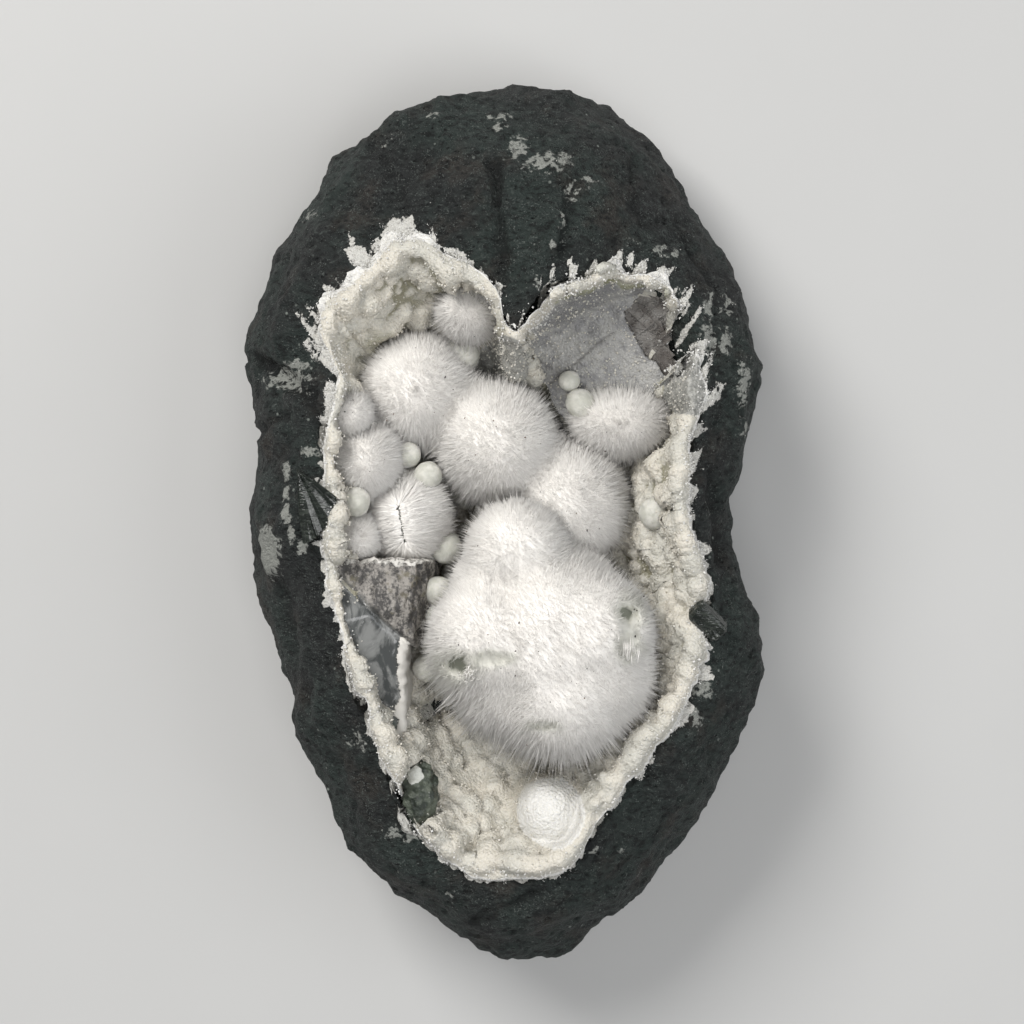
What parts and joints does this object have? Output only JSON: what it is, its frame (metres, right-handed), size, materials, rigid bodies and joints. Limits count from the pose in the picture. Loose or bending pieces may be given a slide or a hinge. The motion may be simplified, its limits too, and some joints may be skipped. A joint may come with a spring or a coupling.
{
  "type": "okenite puffball specimen in basalt",
  "caption": "White furry okenite puffballs on a quartz-lined hollow in a dark basalt rock, with small pale pearls and grey calcite; lies on its flat back with the hollow up.",
  "frame": {"origin": "middle of the rock's box, on the surface that its flat back rests on", "axes": "+Z up out of the hollow's mouth; +Y along the rock's length, to the broad end with the wedge of rock; +X to the right with +Y up as the picture shows it"},
  "size_m": [0.089, 0.15, 0.0536],
  "materials": {
    "basalt": "rough broken dark green-grey rock",
    "druse": "sparkling fine quartz crystals over rounded lumps",
    "okenite": "soft fur of fine white radiating fibres",
    "pearl": "smooth waxy pale green",
    "calcite": "grey-brown cleavage faces, partly see-through",
    "dark_crystal": "dark glossy crystal",
    "green_nodule": "dark green mottled lump"
  },
  "bodies": {
    "root": {"basalt_matrix": "basalt", "druse_crust": "druse", "calcite_upper": "calcite", "calcite_left": "calcite", "dark_prism": "dark_crystal", "dark_fan": "dark_crystal", "green_nodule": "green_nodule", "okenite_front": "okenite", "okenite_chain": "okenite", "okenite_left": "okenite", "okenite_right": "okenite", "okenite_cleft": "okenite", "okenite_top": "okenite", "okenite_rim": "okenite", "okenite_low": "okenite", "pearl_1": "pearl", "pearl_2": "pearl", "pearl_3": "pearl", "pearl_4": "pearl", "pearl_5": "pearl", "pearl_6": "pearl", "pearl_7": "pearl", "pearl_8": "pearl"}
  },
  "joints": []
}
